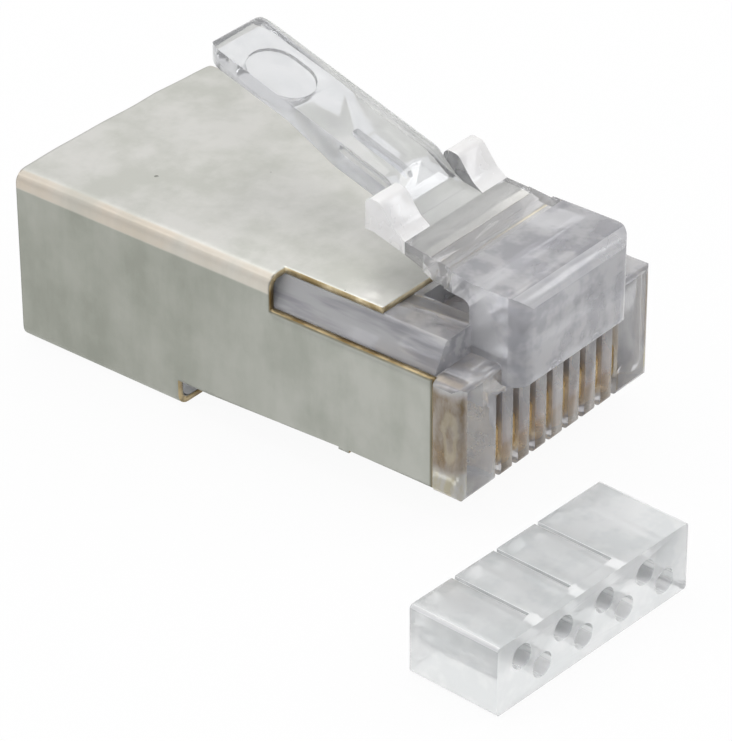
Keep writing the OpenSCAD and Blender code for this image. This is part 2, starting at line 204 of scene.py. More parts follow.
# cloudy patches of handling and plating: 0 below Low, 1 above High
def makeSmearGroup():
    tree, given, result = newGroup("smearMask", (
        ("Coordinates", (0.0, 0.0, 0.0)), ("Stretch", (1.0, 1.0, 1.0)), ("Scale", 300.0),
        ("Detail", 4.0), ("Low", 0.4), ("High", 0.6)), "Mask", "NodeSocketFloat")
    patch = addNode(tree, "ShaderNodeMapRange", interpolation_type="SMOOTHSTEP")
    tree.links.new(stretchedNoise(tree, given), patch.inputs["Value"])
    tree.links.new(given["Low"], patch.inputs["From Min"])
    tree.links.new(given["High"], patch.inputs["From Max"])
    tree.links.new(patch.outputs["Result"], result)
    return tree


# fine unevenness of a surface, Depth deep
def makeGrainGroup():
    tree, given, result = newGroup("grainNormal", (
        ("Coordinates", (0.0, 0.0, 0.0)), ("Stretch", (1.0, 1.0, 1.0)), ("Scale", 900.0),
        ("Detail", 3.0), ("Depth", 0.006 * mm)), "Normal", "NodeSocketVector")
    bump = addNode(tree, "ShaderNodeBump")
    setInputs(bump, {"Strength": 0.3})
    tree.links.new(stretchedNoise(tree, given), bump.inputs["Height"])
    tree.links.new(given["Depth"], bump.inputs["Distance"])
    tree.links.new(bump.outputs["Normal"], result)
    return tree


smearGroup = makeSmearGroup()
grainGroup = makeGrainGroup()


def useGroup(tree, group, coords, values):
    node = addNode(tree, "ShaderNodeGroup", node_tree=group)
    tree.links.new(coords, node.inputs["Coordinates"])
    setInputs(node, values)
    return node.outputs[0]


# clear moulded plastic
clearPlasticSet = {
    "tint": (0.885, 0.895, 0.90, 1.0),
    "milky": (0.83, 0.84, 0.85, 1.0),
    "ior": 1.5,
    "clear": 0.82,
    "smooth": 0.06,
    "smeared": 0.16,
    "smear": {"Scale": 320.0, "Low": 0.42, "High": 0.7},
    "coat": 0.5,
    "coatRoughness": 0.04,
    "coatIor": 1.5,
    "absorbColor": (0.60, 0.60, 0.63, 1.0),
    "absorbDensity": 25.0,
    "flow": {"Scale": 300.0, "Detail": 2.0, "Stretch": (1.0, 0.45, 1.0)},
    "flowDepth": 0.008 * mm,
    "blotch": {"Detail": 3.0, "Low": 0.4, "High": 0.58},
    "blotchScale": 750.0,
    "blotchStretch": (1.0, 1.0, 1.0),
}

# the thick front of the plug, hazy and blotchy
hazyChange = {
    "clear": 0.67,
    "tint": (0.985, 0.985, 0.995, 1.0),
    "milky": (0.70, 0.70, 0.735, 1.0),
    "smooth": 0.08,
    "smeared": 0.22,
    "blotchScale": 680.0,
}

# the pale band along the round of the nose: a painted highlight
bandChange = {
    "clear": 0.5,
    "tint": (0.97, 0.97, 0.98, 1.0),
    "milky": (0.84, 0.84, 0.87, 1.0),
    "smooth": 0.2,
    "smeared": 0.35,
}

# the shoulders in the shield's windows, with flow lines along the plug
shoulderChange = {
    "clear": 0.6,
    "tint": (0.985, 0.985, 0.99, 1.0),
    "milky": (0.66, 0.66, 0.69, 1.0),
    "smooth": 0.08,
    "smeared": 0.22,
    "blotchScale": 1500.0,
    "blotchStretch": (1.0, 0.12, 1.0),
}

# the inner walls, left rough by the core pins
frostedChange = {"clear": 0.7, "smooth": 0.42, "smeared": 0.6, "coat": 0.0}

# the white ears of the latch
milkyChange = {
    "clear": 0.12,
    "tint": (0.97, 0.965, 0.95, 1.0),
    "milky": (0.94, 0.93, 0.91, 1.0),
    "smooth": 0.25,
    "smeared": 0.4,
}

# the thin root, which shows the sheet edge below it
polishedChange = {
    "tint": (0.98, 0.975, 0.965, 1.0),
    "milky": (0.93, 0.925, 0.915, 1.0),
    "smooth": 0.02,
    "smeared": 0.07,
    "flowDepth": 0.003 * mm,
}

# the wire guide
guideChange = {
    "clear": 0.6,
    "tint": (0.975, 0.985, 0.98, 1.0),
    "milky": (0.88, 0.905, 0.90, 1.0),
    "smooth": 0.12,
    "smeared": 0.26,
    "flowDepth": 0.006 * mm,
    "blotchScale": 620.0,
}

# the walls of its wire holes: rougher than the guide, and paler and less clear, which is painted light in the
# holes
holeChange = {
    "clear": 0.35,
    "tint": (0.98, 0.985, 0.985, 1.0),
    "milky": (0.94, 0.95, 0.95, 1.0),
    "smooth": 0.2,
    "smeared": 0.3,
    "coat": 0.0,
}


def makeClearPlastic(name, change, paint=None):
    put = dict(clearPlasticSet, **change)
    material, tree, shader, output = newMaterial(name)
    coords = objectCoords(tree)
    setInputs(shader, {"IOR": put["ior"], "Transmission Weight": put["clear"], "Coat Weight": put["coat"],
                       "Coat Roughness": put["coatRoughness"], "Coat IOR": put["coatIor"]})
    smear = useGroup(tree, smearGroup, coords, put["smear"])
    patches = dict(put["blotch"], Scale=put["blotchScale"], Stretch=put["blotchStretch"])
    blotch = useGroup(tree, smearGroup, coords, patches)
    color = mixColor(tree, blotch, put["milky"], put["tint"])
    if paint:
        color = paint(tree, coords, color, put)
    feed(tree, shader.inputs["Base Color"], color)
    feed(tree, shader.inputs["Roughness"], between(tree, smear, put["smooth"], put["smeared"]))
    flow = useGroup(tree, grainGroup, coords, dict(put["flow"], Depth=put["flowDepth"]))
    feed(tree, shader.inputs["Normal"], flow)
    absorb = addNode(tree, "ShaderNodeVolumeAbsorption")
    setInputs(absorb, {"Color": put["absorbColor"], "Density": put["absorbDensity"]})
    tree.links.new(absorb.outputs["Volume"], output.inputs["Volume"])
    return material


# the ribs between the blades are painted tan in their lower half: a painted image of the blades' gold seen
# through them
ribSet = {
    "clear": 0.76,
    "tan": (0.78, 0.64, 0.46, 1.0),
    "tanZ": 2.75 * mm,
    "baseZ": 0.45 * mm,
    "halfWidth": 3.9 * mm,
    "soft": 0.35 * mm,
}


def paintRibs(tree, coords, color, put):
    x, y, z = splitCoords(tree, coords)
    low = calc(tree, "MULTIPLY", falls(tree, z, put["tanZ"] - put["soft"], put["tanZ"]),
               rises(tree, z, put["baseZ"] - put["soft"], put["baseZ"]))
    middle = falls(tree, calc(tree, "ABSOLUTE", x), put["halfWidth"] - put["soft"] / 2, put["halfWidth"])
    low = calc(tree, "MULTIPLY", low, middle)
    # painted image of the gold seen through the ribs
    return mixColor(tree, low, color, mixColor(tree, 1.0, color, put["tan"], "MULTIPLY"))


# the outer walls of the comb are painted with the flank of the last blade seen through them: brown above,
# cream below, with a pale ring that is a painted highlight
flankSet = {
    "clear": 0.45,
    "smooth": 0.1,
    "brown": (0.27, 0.17, 0.055, 1.0),
    "cream": (0.74, 0.68, 0.47, 1.0),
    "brownZ": 2.6 * mm,
    "topZ": 6.0 * mm,
    "soft": 0.5 * mm,
    "ring": (0.0, 1.41 * mm, 3.9 * mm),
    "ringFlat": (0.0, 1.0, 0.3),
    "ringSize": 0.26 * mm,
    "ringWidth": 0.12 * mm,
    "ringStrength": 0.45,
    "ragged": 0.45 * mm,
    "raggedNoise": {"Scale": 1500.0, "Detail": 3.0},
    "streak": {"Scale": 1400.0, "Stretch": (1, 1, 0.3), "Low": 0.3, "High": 0.62},
    "brownLeast": 0.6,
}


def paintFlanks(tree, coords, color, put):
    noise = addNode(tree, "ShaderNodeTexNoise")
    setInputs(noise, put["raggedNoise"])
    tree.links.new(coords, noise.inputs["Vector"])
    coords = vectorCalc(tree, "MULTIPLY_ADD", noise.outputs["Color"], (put["ragged"],) * 3, coords)
    coords = vectorCalc(tree, "SUBTRACT", coords, (put["ragged"] / 2,) * 3)
    z = splitCoords(tree, coords)[2]
    streak = useGroup(tree, smearGroup, coords, put["streak"])
    # painted image of the blade's flank seen through the wall: brown above, cream below
    high = calc(tree, "MULTIPLY", rises(tree, z, put["brownZ"] - put["soft"], put["brownZ"]),
                falls(tree, z, put["topZ"] - put["soft"], put["topZ"]))
    high = calc(tree, "MULTIPLY", high, between(tree, streak, 1.0, put["brownLeast"]))
    color = mixColor(tree, high, color, put["brown"])
    low = calc(tree, "MULTIPLY", falls(tree, z, put["brownZ"] - put["soft"], put["brownZ"]), streak)
    color = mixColor(tree, low, color, put["cream"])
    # painted highlight: the pale ring
    away = vectorCalc(tree, "MULTIPLY", vectorCalc(tree, "SUBTRACT", coords, put["ring"]), put["ringFlat"])
    off = calc(tree, "ABSOLUTE", calc(tree, "SUBTRACT", vectorCalc(tree, "LENGTH", away), put["ringSize"]))
    ring = falls(tree, off, put["ringWidth"] / 4, put["ringWidth"])
    return mixColor(tree, calc(tree, "MULTIPLY", ring, put["ringStrength"]), color, put["cream"])


# plated sheet metal: cloudy plating and fine specks; painted shade makes the walls darker and greener than
# the top, more so towards the rear, and the top lighter at the front than at the rear; a painted tan
# reflection lies on the round of the folds, and painted shade lies along the front edges and the sills of the
# windows
sheetSet = {
    "dark": (0.62, 0.625, 0.575, 1.0),
    "base": (0.69, 0.69, 0.645, 1.0),
    "light": (0.75, 0.745, 0.705, 1.0),
    "colorStops": (0.2, 0.5, 0.8),
    "wallShadeRear": (0.56, 0.575, 0.54, 1.0),
    "wallShadeFront": (0.65, 0.665, 0.64, 1.0),
    "wallShadeY": (6 * mm, 16 * mm),
    "topFront": 1.12,
    "topRear": 0.94,
    "topShadeY": (6 * mm, 18 * mm),
    "tan": (0.60, 0.50, 0.38, 1.0),
    "tanRange": (0.2, 0.75),
    "edgeShade": (0.17, 0.15, 0.09, 1.0),
    "edgeShadeLeast": 0.6,
    "metallic": 0.7,
    "roughRange": (0.53, 0.40),
    "cloud": {"Scale": 240.0, "Detail": 6.0, "Low": 0.3, "High": 0.7},
    "cloudShare": 0.6,
    "streak": {"Scale": 700.0, "Stretch": (1, 1, 0.25), "Low": 0.3, "High": 0.7},
    "streakShare": 0.4,
    "grain": {"Scale": 4200.0, "Depth": 0.008 * mm},
    "speck": (0.12, 0.13, 0.10, 1.0),
    "speckCells": {"Scale": 620.0, "Randomness": 1.0},
    "speckSize": 0.06,
    "speckPatches": {"Scale": 900.0, "Detail": 1.0, "Low": 0.52, "High": 0.58},
    "speckStrength": 0.8,
    "wallX": 5.55 * mm,
    "foldZ": 6.82 * mm,
    "frontY": 2.2 * mm,
    "sillZ": 6.08 * mm,
    "windowEndY": 9.85 * mm,
    "edgeShadeSize": 0.09 * mm,
    "soft": 0.12 * mm,
}


def addSpecks(tree, coords, color, put):
    cells = addNode(tree, "ShaderNodeTexVoronoi")
    setInputs(cells, put["speckCells"])
    tree.links.new(coords, cells.inputs["Vector"])
    near = calc(tree, "LESS_THAN", cells.outputs["Distance"], put["speckSize"])
    rare = useGroup(tree, smearGroup, coords, put["speckPatches"])
    strength = calc(tree, "MULTIPLY", calc(tree, "MULTIPLY", near, rare), put["speckStrength"])
    return mixColor(tree, strength, color, put["speck"])


def makePlatedSheet(put):
    material, tree, shader, output = newMaterial("platedSheet")
    coords = objectCoords(tree)
    x, y, z = splitCoords(tree, coords)
    soft = put["soft"]
    cloud = useGroup(tree, smearGroup, coords, put["cloud"])
    streak = useGroup(tree, smearGroup, coords, put["streak"])
    patch = calc(tree, "ADD", calc(tree, "MULTIPLY", cloud, put["cloudShare"]),
                 calc(tree, "MULTIPLY", streak, put["streakShare"]))
    color = ramp(tree, patch, list(zip(put["colorStops"], (put["dark"], put["base"], put["light"]))))
    # painted shade: the walls darker and greener than the top, more so towards the rear, and the top lighter
    # at the front than at the rear
    side = rises(tree, calc(tree, "ABSOLUTE", x), put["wallX"] - soft, put["wallX"])
    upper = rises(tree, z, put["foldZ"] - soft, put["foldZ"])
    wall = mixColor(tree, rises(tree, y, *put["wallShadeY"]), put["wallShadeFront"], put["wallShadeRear"])
    onWall = calc(tree, "MULTIPLY", side, calc(tree, "SUBTRACT", 1.0, upper))
    along = between(tree, rises(tree, y, *put["topShadeY"]), put["topFront"], put["topRear"])
    color = mixColor(tree, upper, color, mixColor(tree, 1.0, color, along, "MULTIPLY"))
    color = mixColor(tree, onWall, color, mixColor(tree, 1.0, color, wall, "MULTIPLY"))
    # painted reflection: tan on the round of the folds
    tan = calc(tree, "MULTIPLY", calc(tree, "MULTIPLY", side, upper), between(tree, cloud, *put["tanRange"]))
    color = mixColor(tree, tan, color, put["tan"])
    color = addSpecks(tree, coords, color, put)
    # painted shade along the front edges and the sills of the windows
    size = put["edgeShadeSize"]
    front = falls(tree, y, put["frontY"] + size / 2, put["frontY"] + 1.5 * size)
    sill = calc(tree, "MULTIPLY", rises(tree, z, put["sillZ"] - 1.5 * size, put["sillZ"] - size / 2),
                falls(tree, y, put["windowEndY"], put["windowEndY"] + size))
    edge = calc(tree, "MULTIPLY", calc(tree, "MAXIMUM", front, sill), side)
    edge = calc(tree, "MULTIPLY", edge, between(tree, streak, put["edgeShadeLeast"], 1.0))
    feed(tree, shader.inputs["Base Color"], mixColor(tree, edge, color, put["edgeShade"]))
    setInputs(shader, {"Metallic": put["metallic"]})
    feed(tree, shader.inputs["Roughness"], between(tree, cloud, *put["roughRange"]))
    feed(tree, shader.inputs["Normal"], useGroup(tree, grainGroup, coords, put["grain"]))
    return material


# bare yellow metal at the cut edges of the sheet, with painted shade that makes it darker on the walls than
# on the top
brassSet = {
    "dark": (0.34, 0.25, 0.11, 1.0),
    "light": (0.93, 0.82, 0.56, 1.0),
    "dull": (0.55, 0.50, 0.42, 1.0),
    "topZ": 7.1 * mm,
    "soft": 0.3 * mm,
    "metallic": 0.75,
    "roughness": 0.42,
    "streak": {"Scale": 500.0, "Low": 0.36, "High": 0.62},
    "grain": {"Scale": 500.0, "Depth": 0.013 * mm},
}


def makeCutEdge(put):
    material, tree, shader, output = newMaterial("cutEdge")
    coords = objectCoords(tree)
    z = splitCoords(tree, coords)[2]
    streak = useGroup(tree, smearGroup, coords, put["streak"])
    color = mixColor(tree, streak, put["dark"], put["light"])
    # painted shade: the cut edges below the top are darker
    low = falls(tree, z, put["topZ"] - put["soft"], put["topZ"])
    color = mixColor(tree, low, color, mixColor(tree, 1.0, color, put["dull"], "MULTIPLY"))
    feed(tree, shader.inputs["Base Color"], color)
    setInputs(shader, {"Metallic": put["metallic"], "Roughness": put["roughness"]})
    feed(tree, shader.inputs["Normal"], useGroup(tree, grainGroup, coords, put["grain"]))
    return material


# gold plated contact blades
goldSet = {
    "base": (0.72, 0.50, 0.22, 1.0),
    "light": (0.94, 0.74, 0.42, 1.0),
    "metallic": 0.75,
    "polished": 0.2,
    "dull": 0.36,
    "smear": {"Scale": 900.0, "Stretch": (1, 0.3, 1), "Low": 0.32, "High": 0.68},
    "grain": {"Scale": 900.0, "Stretch": (1, 0.3, 1), "Depth": 0.003 * mm},
}


def makeGold(put):
    material, tree, shader, output = newMaterial("goldPlate")
    coords = objectCoords(tree)
    smear = useGroup(tree, smearGroup, coords, put["smear"])
    feed(tree, shader.inputs["Base Color"], mixColor(tree, smear, put["base"], put["light"]))
    setInputs(shader, {"Metallic": put["metallic"]})
    feed(tree, shader.inputs["Roughness"], between(tree, smear, put["dull"], put["polished"]))
    feed(tree, shader.inputs["Normal"], useGroup(tree, grainGroup, coords, put["grain"]))
    return material


clearPlastic = makeClearPlastic("clearPlastic", {})
frostedPlastic = makeClearPlastic("frostedPlastic", frostedChange)
milkyPlastic = makeClearPlastic("milkyPlastic", milkyChange)
hazyPlastic = makeClearPlastic("hazyPlastic", hazyChange)
bandPlastic = makeClearPlastic("bandPlastic", bandChange)
shoulderPlastic = makeClearPlastic("shoulderPlastic", shoulderChange)
holePlastic = makeClearPlastic("holePlastic", holeChange)
polishedPlastic = makeClearPlastic("polishedPlastic", polishedChange)
ribPlastic = makeClearPlastic("ribPlastic", dict(hazyChange, **ribSet), paintRibs)
flankPlastic = makeClearPlastic("flankPlastic", flankSet, paintFlanks)
guidePlastic = makeClearPlastic("guidePlastic", guideChange)
platedSheet = makePlatedSheet(sheetSet)
cutEdge = makeCutEdge(brassSet)
goldPlate = makeGold(goldSet)
print("materials made")


def addObject(name, shape, materials=()):
    mesh = bpy.data.meshes.new(name)
    shape.to_mesh(mesh)
    shape.free()
    for material in materials:
        mesh.materials.append(material)
    made = bpy.data.objects.new(name, mesh)
    bpy.context.collection.objects.link(made)
    return made


def addPiece(name, shape, materials, body, nodeName):
    piece = addObject(name, shape, materials)
    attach(piece, body)
    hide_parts(nodeName)
    return piece


# crisp edges are broken as a mould leaves them
edgeSet = {
    "housing": 0.05 * mm,
    "latch": 0.07 * mm,
    "guide": 0.05 * mm,
    "blade": 0.03 * mm,
    "sharpDegrees": 32,
    "flatDegrees": 0.8,
    "segments": 2,
    "mergeNode": 0.002 * mm,
    "mergeJoined": 0.003 * mm,
    "onPlane": 0.0005 * mm,
}


def cutAcross(shape, axis, place):
    normal = [0.0, 0.0, 0.0]
    normal[axis] = 1.0
    point = [0.0, 0.0, 0.0]
    point[axis] = place
    bmesh.ops.bisect_plane(shape, geom=shape.verts[:] + shape.edges[:] + shape.faces[:],
                           dist=edgeSet["onPlane"], plane_co=point, plane_no=normal)


def shadeByAngle(piece, degrees):
    piece.data.shade_smooth()
    piece.data.set_sharp_from_angle(angle=math.radians(degrees))


# the CAD solid's own shape, merged
def mergedShape(nodeName):
    shape = bmesh.new()
    shape.from_mesh(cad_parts[nodeName].data)
    bmesh.ops.remove_doubles(shape, verts=shape.verts, dist=edgeSet["mergeNode"])
    return shape


def breakEdges(shape, size, spared=None):
    bmesh.ops.dissolve_limit(shape, angle_limit=math.radians(edgeSet["flatDegrees"]),
                             use_dissolve_boundaries=False, verts=shape.verts, edges=shape.edges)
    crisp = [edge for edge in shape.edges if edge.is_manifold and not (spared and spared(edge))
             and edge.calc_face_angle() > math.radians(edgeSet["sharpDegrees"])]
    bmesh.ops.bevel(shape, geom=crisp, offset=size, offset_type="OFFSET", segments=edgeSet["segments"],
                    profile=0.5, affect="EDGES", clamp_overlap=True, material=-1, loop_slide=True)
    for face in shape.faces:
        face.material_index = 0


def mouldedShape(nodeName, edgeSize):
    shape = mergedShape(nodeName)
    breakEdges(shape, edgeSize)
    return shape


# the wire guide, which lies turned on the surface
barSet = {
    "turn": math.radians(-2.9),
    "square": 0.2,
    "tilts": (0.05, 0.95),
    "smoothDegrees": 28,
}


# the walls of the wire holes are the faces that look neither up, down nor squarely along a side; they take
# the rougher hole material, whose paleness is painted light
def frostAndLightHoles(shape, put):
    along = Vector((math.cos(put["turn"]), math.sin(put["turn"]), 0))
    for face in shape.faces:
        tilt = abs(face.normal.dot(along))
        deep = abs(face.normal.dot(Vector((-along.y, along.x, 0)))) < put["square"]
        if deep and put["tilts"][0] < tilt < put["tilts"][1]:
            face.material_index = 1


barShape = mouldedShape("load_bar", edgeSet["guide"])
frostAndLightHoles(barShape, barSet)
barPiece = addPiece("clear_wire_guide", barShape, [guidePlastic, holePlastic],
                    "plug", "load_bar")
shadeByAngle(barPiece, barSet["smoothDegrees"])
print("wire guide made")

# the nose, the latch and the thin root between them are one moulding; the root, where the real latch bends,
# is cut across in slices
latchSet = {
    "noseHalf": 3.8 * mm,
    "noseEndY": 2.41 * mm,
    "aheadY": -1.0 * mm,
    "behindY": 1.0 * mm,
    "pocketHalf": 2.9 * mm,
    "rootLow": 7.6 * mm,
    "rootEndY": 4.4 * mm,
    "seamZ": 6.32 * mm,
    "overhangZ": 5.1 * mm,
    "combY": 0.88 * mm,
    "lap": 0.012 * mm,
    "smoothDegrees": 28,
    "top": 10 * mm,
    "rootSide": ((3.1 * mm, 8.14 * mm), (4.2 * mm, 8.14 * mm), (4.75 * mm, 8.41 * mm),
                 (4.75 * mm, 9.157 * mm), (3.1 * mm, 9.007 * mm)),
    "rootFaces": ((0, 4, 3, 2, 1), (5, 6, 7, 8, 9), (3, 4, 9, 8), (1, 2, 7, 6), (4, 0, 5, 9),
                  (2, 3, 8, 7), (0, 1, 6, 5)),
    "rootHalf": 3.16 * mm,
    "bendStart": (0, 3.3 * mm, 8.6 * mm),
    "bendEnd": (0, 5.1 * mm, 8.6 * mm),
    "bendCuts": 6,
    "rear": ((0, 12.0 * mm, 0), (6 * mm, 23 * mm, 8 * mm)),
    "innerRoom": ((0, 7.0 * mm, 0.5 * mm), (5.2 * mm, 22.0 * mm, 6.9 * mm)),
    "comb": ((0, 0, 0), (4.15 * mm, 2.0 * mm, 5.0 * mm)),
    "flank": ((5.2 * mm, 0, 0), (6 * mm, 2.15 * mm, 5.6 * mm)),
    "shoulder": ((4.2 * mm, 2.2 * mm, 5.6 * mm), (6 * mm, 12 * mm, 7.4 * mm)),
    "ears": ((1.7 * mm, 5.2 * mm, 9.3 * mm), (3.3 * mm, 7.7 * mm, 10.9 * mm)),
    "nose": ((0, -mm, 0), (4 * mm, 3.0 * mm, 10 * mm)),
    "root": ((0, 3.0 * mm, 7 * mm), (3.2 * mm, 6.2 * mm, 9.4 * mm)),
}


# a place, with its distance from the middle plane first, lies in a room
def inside(spot, room):
    return all(room[0][axis] <= spot[axis] <= room[1][axis] for axis in range(3))


def addBlock(name, low, high):
    shape = bmesh.new()
    bmesh.ops.create_cube(shape, size=1.0)
    bmesh.ops.scale(shape, vec=[high[k] - low[k] for k in range(3)], verts=shape.verts)
    bmesh.ops.translate(shape, vec=[(high[k] + low[k]) / 2 for k in range(3)], verts=shape.verts)
    return addObject(name, shape)


# joins or cuts whole solids and gives back the result as a bmesh
def combine(base, steps):
    for operation, tool in steps:
        change = base.modifiers.new(operation, "BOOLEAN")
        change.operation = operation
        change.solver = "EXACT"
        change.object = tool
    bpy.context.view_layer.update()
    made = bpy.data.meshes.new_from_object(base.evaluated_get(bpy.context.evaluated_depsgraph_get()))
    shape = bmesh.new()
    shape.from_mesh(made)
    bpy.data.meshes.remove(made)
    for used in [base] + [tool for operation, tool in steps]:
        bpy.data.objects.remove(used)
    return shape


# its faces are written out, because the joined shape hangs on their order
def makeRoot(put):
    shape = bmesh.new()
    half = put["rootHalf"]
    corners = [shape.verts.new((x, y, z)) for x in (-half, half) for y, z in put["rootSide"]]
    for row in put["rootFaces"]:
        shape.faces.new([corners[number] for number in row])
    return addObject("root", shape)


# the room that the nose takes; the housing is cut a hair smaller, because two clear pieces that
# touch look like one only where they lap
def noseBlocks(put, lap=0.0):
    half, top = put["noseHalf"], put["top"]
    ahead = addBlock("ahead", (-half, put["aheadY"], put["overhangZ"]), (half, put["combY"] - lap, top))
    above = addBlock("above", (-half, put["aheadY"], put["seamZ"] + lap), (half, put["noseEndY"] - lap, top))
    behind = addBlock("behind", (-half, put["behindY"], put["rootLow"]), (half, put["rootEndY"], top))
    return ahead, above, behind


# an edge of the seam between nose and housing, which stays crisp
def onSeam(edge):
    put = latchSet
    for axis, place in ((1, put["combY"]), (1, put["noseEndY"]), (2, put["seamZ"])):
        if all(abs(vert.co[axis] - place) < 2 * put["lap"] for vert in edge.verts):
            return True
    return False


def breakJoinedEdges(shape, size):
    bmesh.ops.remove_doubles(shape, verts=shape.verts, dist=edgeSet["mergeJoined"])
    breakEdges(shape, size, onSeam)


def folded(place):
    return abs(place.x), place.y, place.z


# the order of the latch's materials
latchLooks = {"clear": 0, "milky": 1, "hazy": 2, "polished": 3, "band": 4}


def latchLook(face, put):
    spot = folded(face.calc_center_median())
    if inside(spot, put["ears"]) and face.normal.z > -0.2 and face.normal.y < 0.5:
        return "milky"
    if inside(spot, put["nose"]):
        # the faces along the round of the nose take the pale band, a painted highlight
        return "band" if face.normal.y < -0.2 and face.normal.z > 0.2 else "hazy"
    return "polished" if inside(spot, put["root"]) else "clear"


def makeLatch(put):
    plain = addObject("noseSolid", mergedShape("housing"))
    lever = addObject("leverSolid", mergedShape("latch"))
    ahead, above, behind = noseBlocks(put)
    join = addObject("cutter", combine(ahead, [("UNION", above), ("UNION", behind)]))
    nose = addObject("nose", combine(plain, [("INTERSECT", join)]))
    shape = combine(nose, [("UNION", makeRoot(put)), ("UNION", lever)])
    breakJoinedEdges(shape, edgeSet["latch"])
    start, end = put["bendStart"][1], put["bendEnd"][1]
    for step in range(put["bendCuts"] + 1):
        cutAcross(shape, 1, start + step * (end - start) / put["bendCuts"])
    # the cuts leave the faces in a chance order
    placed = sorted(shape.faces, key=lambda face: [round(part / mm, 5) for part in face.calc_center_median()])
    for number, face in enumerate(placed):
        face.index = number
    shape.faces.sort()
    for face in shape.faces:
        face.material_index = latchLooks[latchLook(face, put)]
    piece = addObject("clear_latch", shape,
                      (clearPlastic, milkyPlastic, hazyPlastic, polishedPlastic, bandPlastic))
    shadeByAngle(piece, put["smoothDegrees"])
    # the ears are soft all over
    mesh = piece.data
    for edge in mesh.edges:
        if all(inside(folded(mesh.vertices[number].co), put["ears"]) for number in edge.vertices):
            edge.use_edge_sharp = False
    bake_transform(piece)
    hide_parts("latch")


def makeHousing(put):
    plain = addObject("wholeSolid", mergedShape("housing"))
    half, lap = put["pocketHalf"], put["lap"]
    pocketFront = addBlock("pocketFront", (-half, put["behindY"], put["seamZ"] + lap),
                           (half, put["noseEndY"] + lap, put["top"]))
    cutters = noseBlocks(put, lap) + (pocketFront,)
    shape = combine(plain, [("DIFFERENCE", cutter) for cutter in cutters])
    breakJoinedEdges(shape, edgeSet["housing"])
    for face in shape.faces:
        spot = folded(face.calc_center_median())
        for number, room in enumerate(("rear", "innerRoom", "comb", "flank", "shoulder"), 1):
            if inside(spot, put[room]):
                face.material_index = number
    materials = [hazyPlastic, clearPlastic, frostedPlastic, ribPlastic, flankPlastic, shoulderPlastic]
    piece = addPiece("clear_housing", shape, materials, "plug", "housing")
    shadeByAngle(piece, put["smoothDegrees"])


makeLatch(latchSet)
makeHousing(latchSet)
print("clear pieces made")

# the blades are pressed in: a hair thicker than their slots, so that the ribs show their gold
bladeSet = {"count": 8, "pitch": 1.016 * mm, "swell": 1.15, "smoothDegrees": 30}

for number in range(1, bladeSet["count"] + 1):
    bladeShape = mouldedShape("contact_%d" % number, edgeSet["blade"])
    middleX = (number - (bladeSet["count"] + 1) / 2) * bladeSet["pitch"]
    bmesh.ops.scale(bladeShape, vec=(bladeSet["swell"], 1, 1), verts=bladeShape.verts,
                    space=Matrix.Translation((-middleX, 0, 0)))
    blade = addPiece("blade_%d" % number, bladeShape, [goldPlate],
                     "plug", "contact_%d" % number)
    shadeByAngle(blade, bladeSet["smoothDegrees"])
print("contact blades made")


# folded sheet shell
shellSet = {
    "halfWidth": 5.84 * mm,
    "height": 7.5 * mm,
    "rearY": 22.54 * mm,
    "sideFrontY": 2.2 * mm,
    "topFrontY": 5.25 * mm,
    "windowEndY": 9.85 * mm,
    "windowX": 4.89 * mm,
    "sillZ": 6.08 * mm,
    "windowRound": 0.25 * mm,
    "roundSteps": 4,
    "frontZ": 1.2 * mm,
    "sideLift": 0.25 * mm,
    "liftEndY": 12.8 * mm,
    "stubY": 6.1 * mm,
    "stubLength": 0.5 * mm,
    "stubDrop": 0.12 * mm,
    "stepY": 14.5 * mm,
    "reliefHalf": 3.4 * mm,
    "reliefY": (15.6 * mm, 19.28 * mm),
    "thickness": 0.25 * mm,
    "fold": 0.55 * mm,
    "foldSteps": 6,
    "coarse": 0.45 * mm,
    "fine": 0.15 * mm,
    "fineEndY": 12 * mm,
    "bottomZ": 0.1 * mm,
    "cornerShare": 0.98,
    "topShare": 0.9,
    "smoothDegrees": 35,
    "creaseDrop": 0.055,
    "creaseDeepest": 0.17 * mm,
    "dimples": ((-4.24 * mm, 6.15 * mm), (0, 6.15 * mm), (4.24 * mm, 6.15 * mm)),
    "dimpleSize": 0.45 * mm,
    "dimpleRise": 0.07 * mm,
    "wave": 0.07 * mm,
    "waveReach": 5 * mm,
    "waveTurns": (0.9, 2.1),
    "waveShift": 0.6,
    "waveHeights": (0.7, 0.5, 0.6),
    "crease": ((-4.47 * mm, 10.47 * mm), (-1.58 * mm, 6.86 * mm), (-2.07 * mm, 4.83 * mm)),
}


# cuts along a line in Y and Z whose normal is given, all faces or some of them
def cutLeaning(shape, y, z, normal, faces=None):
    chosen = shape.faces[:] if faces is None else faces
    parts = set(chosen)
    for face in chosen:
        parts.update(face.edges)
        parts.update(face.verts)
    bmesh.ops.bisect_plane(shape, geom=list(parts), dist=edgeSet["onPlane"], plane_co=(0, y, z),
                           plane_no=(0, normal[0], normal[1]))


def aroundCorner(face, y, z, size):
    middle = face.calc_center_median()
    return -0.1 * size < middle.y - y < 1.2 * size and -1.2 * size < middle.z - z < 0.1 * size


# the lower edge of the side walls rises towards the front
def liftSlope(put):
    return put["sideLift"] / (put["liftEndY"] - put["stubY"])


